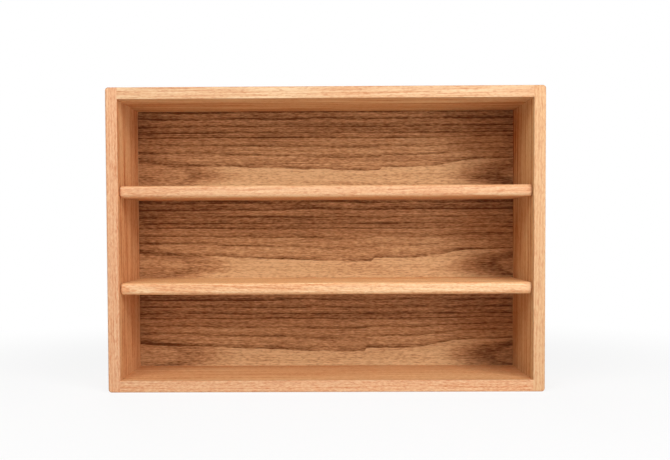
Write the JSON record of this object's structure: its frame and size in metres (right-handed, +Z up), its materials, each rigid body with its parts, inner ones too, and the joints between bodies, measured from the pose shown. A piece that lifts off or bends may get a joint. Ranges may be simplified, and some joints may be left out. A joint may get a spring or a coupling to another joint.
{
  "type": "cd storage cabinet",
  "caption": "Long, low open cabinet for disc cases: a solid wooden box with fixed shelves set back from the front, a back panel in grooves and keyhole hangers for the wall.",
  "frame": {"origin": "middle of the base: half way across the width and half way through the depth", "axes": "+X to the right seen from the open front, +Y from the front to the back, +Z up"},
  "size_m": [0.685, 0.178, 0.4775],
  "materials": {
    "oak_boards": "clear satin varnish",
    "oak_panel": "clear satin varnish",
    "beech_dowels": "bare",
    "bright_steel": "zinc plated",
    "hanger_steel": "zinc plated, pressed sheet"
  },
  "bodies": {
    "root": {"left_side": "oak_boards", "right_side": "oak_boards", "top_board": "oak_boards", "bottom_board": "oak_boards", "upper_shelf": "oak_boards", "lower_shelf": "oak_boards", "back_panel": "oak_panel", "top_left_dowels": "beech_dowels", "top_right_dowels": "beech_dowels", "bottom_left_dowels": "beech_dowels", "bottom_right_dowels": "beech_dowels", "upper_shelf_left_dowels": "beech_dowels", "upper_shelf_right_dowels": "beech_dowels", "lower_shelf_left_dowels": "beech_dowels", "lower_shelf_right_dowels": "beech_dowels", "upper_shelf_brads": "bright_steel", "lower_shelf_brads": "bright_steel", "left_plate_screws": "bright_steel", "right_plate_screws": "bright_steel", "left_keyhole_plate": "hanger_steel", "right_keyhole_plate": "hanger_steel"}
  },
  "joints": []
}
